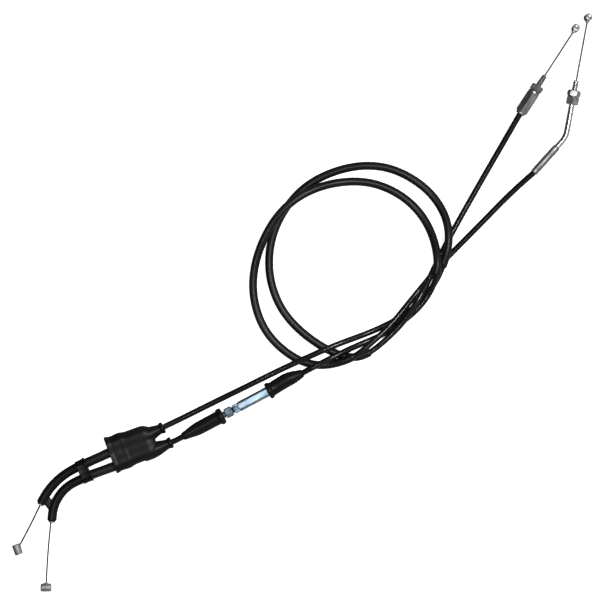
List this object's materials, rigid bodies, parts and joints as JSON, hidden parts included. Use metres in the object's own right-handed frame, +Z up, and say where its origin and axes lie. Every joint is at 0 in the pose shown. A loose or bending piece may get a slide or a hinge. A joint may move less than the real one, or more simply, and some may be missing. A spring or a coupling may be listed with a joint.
{
  "type": "throttle cable pair",
  "caption": "Pair of motorcycle throttle cables, pull and return, with elbow guides, twin boot, in-line adjuster, threaded carburettor ends and barrel nipples, laid in one loop.",
  "frame": {"origin": "on the floor under the middle of the cable set's end fittings, measured without the two free casings", "axes": "+X from the grip end to the carburettor end, +Y to the left of it, +Z up from the surface the cables lie on"},
  "size_m": [0.6767, 0.1467, 0.0199],
  "materials": {
    "pipe_steel": "satin bare steel",
    "guide_plastic": "black moulded plastic, semi-gloss",
    "boot_rubber": "black rubber, soft sheen",
    "loop_sleeve": "black vinyl sleeve, satin",
    "casing": "black extruded casing, satin",
    "cap_steel": "zinc plated",
    "bright_zinc": "bright blue-white zinc plating",
    "fitting_steel": "grey zinc plating",
    "tube_steel": "bright plated tube",
    "wire_steel": "stranded steel wire",
    "nipple_zinc": "dull cast zinc"
  },
  "bodies": {
    "cable_set": {"pull_guide_pipe": "pipe_steel", "return_guide_pipe": "pipe_steel", "guide_cover": "guide_plastic", "guide_collar": "guide_plastic", "pull_pipe_sleeve": "boot_rubber", "return_pipe_sleeve": "boot_rubber", "twin_boot": "boot_rubber", "pull_casing_cap": "cap_steel", "return_casing_cap": "cap_steel", "pull_link_casing": "casing", "return_casing_stub": "casing", "inline_screw": "bright_zinc", "inline_ferrule": "bright_zinc", "pull_casing_stub": "casing", "pull_casing_front": "casing", "pull_loop_sleeve": "loop_sleeve", "pull_casing_rear": "casing", "return_casing_front": "casing", "return_loop_sleeve": "loop_sleeve", "return_casing_rear": "casing", "return_end_ferrule": "fitting_steel", "return_adjuster": "fitting_steel", "pull_tube_ferrule": "tube_steel", "pull_bent_tube": "tube_steel"},
    "pull_grip_end": {"pull_grip_wire": "wire_steel", "pull_grip_nipple": "nipple_zinc"},
    "return_grip_end": {"return_grip_wire": "wire_steel", "return_grip_nipple": "nipple_zinc"},
    "pull_carb_end": {"pull_carb_wire": "wire_steel", "pull_carb_nipple": "nipple_zinc"},
    "return_carb_end": {"return_carb_wire": "wire_steel", "return_carb_nipple": "nipple_zinc"},
    "barrel": {"inline_barrel": "bright_zinc"},
    "inline_nut": {"inline_locknut": "bright_zinc"},
    "return_nut": {"return_locknut": "fitting_steel"},
    "upper_nut": {"pull_upper_nut": "fitting_steel"},
    "lower_nut": {"pull_lower_nut": "fitting_steel"},
    "grip_boot": {"grip_side_boot": "boot_rubber"},
    "carb_boot": {"carb_side_boot": "boot_rubber"}
  },
  "joints": [
    {"name": "pull_stroke", "type": "slide", "parent": "cable_set", "child": "pull_grip_end", "axis": [-0.7431, -0.6691, 0], "range_m": [0, 0.03], "deforming": ["pull_grip_wire"]},
    {"name": "pull_carb_stroke", "type": "slide", "parent": "cable_set", "child": "pull_carb_end", "axis": [0.8039, 0.5948, 0], "range_m": [-0.03, 0]},
    {"name": "return_stroke", "type": "slide", "parent": "cable_set", "child": "return_grip_end", "axis": [-0.9397, -0.342, 0], "range_m": [0, 0.03], "deforming": ["return_grip_wire"]},
    {"name": "return_carb_stroke", "type": "slide", "parent": "cable_set", "child": "return_carb_end", "axis": [0.9703, 0.2419, 0], "range_m": [-0.03, 0]},
    {"name": "inline_barrel_turn", "type": "hinge", "parent": "cable_set", "child": "barrel", "pos_m": [-0.0973, -0.0201, 0.0074], "axis": [0.9659, -0.2588, 0], "range_deg": [-330, 330]},
    {"name": "inline_locknut_turn", "type": "hinge", "parent": "cable_set", "child": "inline_nut", "pos_m": [-0.11903, -0.01428, 0.0074], "axis": [0.9659, -0.2588, 0], "range_deg": [-330, 330]},
    {"name": "return_locknut_turn", "type": "hinge", "parent": "cable_set", "child": "return_nut", "pos_m": [0.26094, 0.00842, 0.0058], "axis": [0.9703, 0.2419, 0], "range_deg": [-330, 330]},
    {"name": "pull_upper_nut_turn", "type": "hinge", "parent": "cable_set", "child": "upper_nut", "pos_m": [0.28121, -0.01639, 0.0058], "axis": [0.8039, 0.5948, 0], "range_deg": [-330, 330]},
    {"name": "pull_lower_nut_turn", "type": "hinge", "parent": "cable_set", "child": "lower_nut", "pos_m": [0.27598, -0.02026, 0.0058], "axis": [0.8039, 0.5948, 0], "range_deg": [-330, 330]},
    {"name": "grip_boot_slide", "type": "slide", "parent": "cable_set", "child": "grip_boot", "axis": [0.9659, -0.2588, 0], "range_m": [-0.008, 0.014]},
    {"name": "carb_boot_slide", "type": "slide", "parent": "cable_set", "child": "carb_boot", "axis": [-0.9659, 0.2588, 0], "range_m": [0, 0.014]}
  ],
  "couplings": [
    {"joint": "pull_carb_stroke", "follows": "pull_stroke", "ratio": -1},
    {"joint": "return_carb_stroke", "follows": "return_stroke", "ratio": -1}
  ]
}
